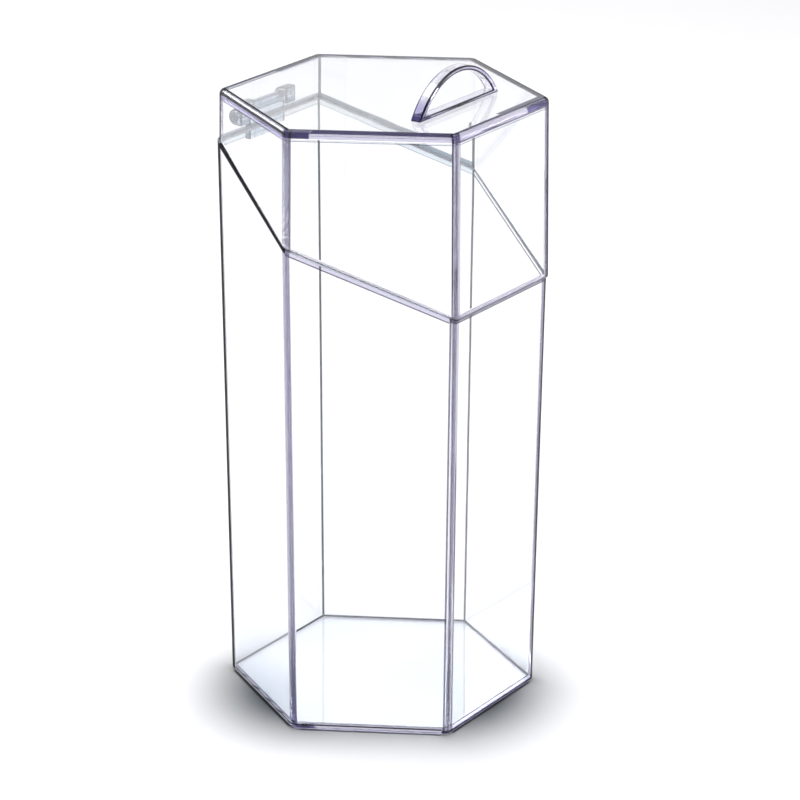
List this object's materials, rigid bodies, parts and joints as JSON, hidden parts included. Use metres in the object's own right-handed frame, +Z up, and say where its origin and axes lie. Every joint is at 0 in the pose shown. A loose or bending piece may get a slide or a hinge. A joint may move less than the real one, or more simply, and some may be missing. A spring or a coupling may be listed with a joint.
{
  "type": "makeup brush holder",
  "caption": "Clear hexagonal canister that stands brushes upright under a slant-cut lid, which swings on a rear hinge and is lifted by a D-shaped handle.",
  "frame": {"origin": "middle of the flat underside, on the surface that the holder stands on", "axes": "+Z up, -Y towards the low front panel below the handle, +Y towards the hinge, +X to the right as seen from the front"},
  "size_m": [0.11, 0.1012, 0.2243],
  "materials": {
    "clear_shell": "clear moulded plastic, polished, violet at the edges",
    "clear_handle": "clear plastic strip, polished, violet at the edges",
    "hinge_plastic": "clear plastic with a grey-blue cast, moulded",
    "hinge_pin_plastic": "clear plastic rod, drawn"
  },
  "bodies": {
    "canister": {"body_shell": "clear_shell", "body_hinge_leaf": "hinge_plastic"},
    "lid": {"lid_shell": "clear_shell", "lid_handle": "clear_handle", "lid_hinge_block_left": "hinge_plastic", "lid_hinge_block_right": "hinge_plastic", "hinge_pin": "hinge_pin_plastic"}
  },
  "joints": [
    {"name": "lid_hinge", "type": "hinge", "parent": "canister", "child": "lid", "pos_m": [0, 0.0501, 0.1977], "axis": [-1, 0, 0], "range_deg": [0, 180]}
  ]
}
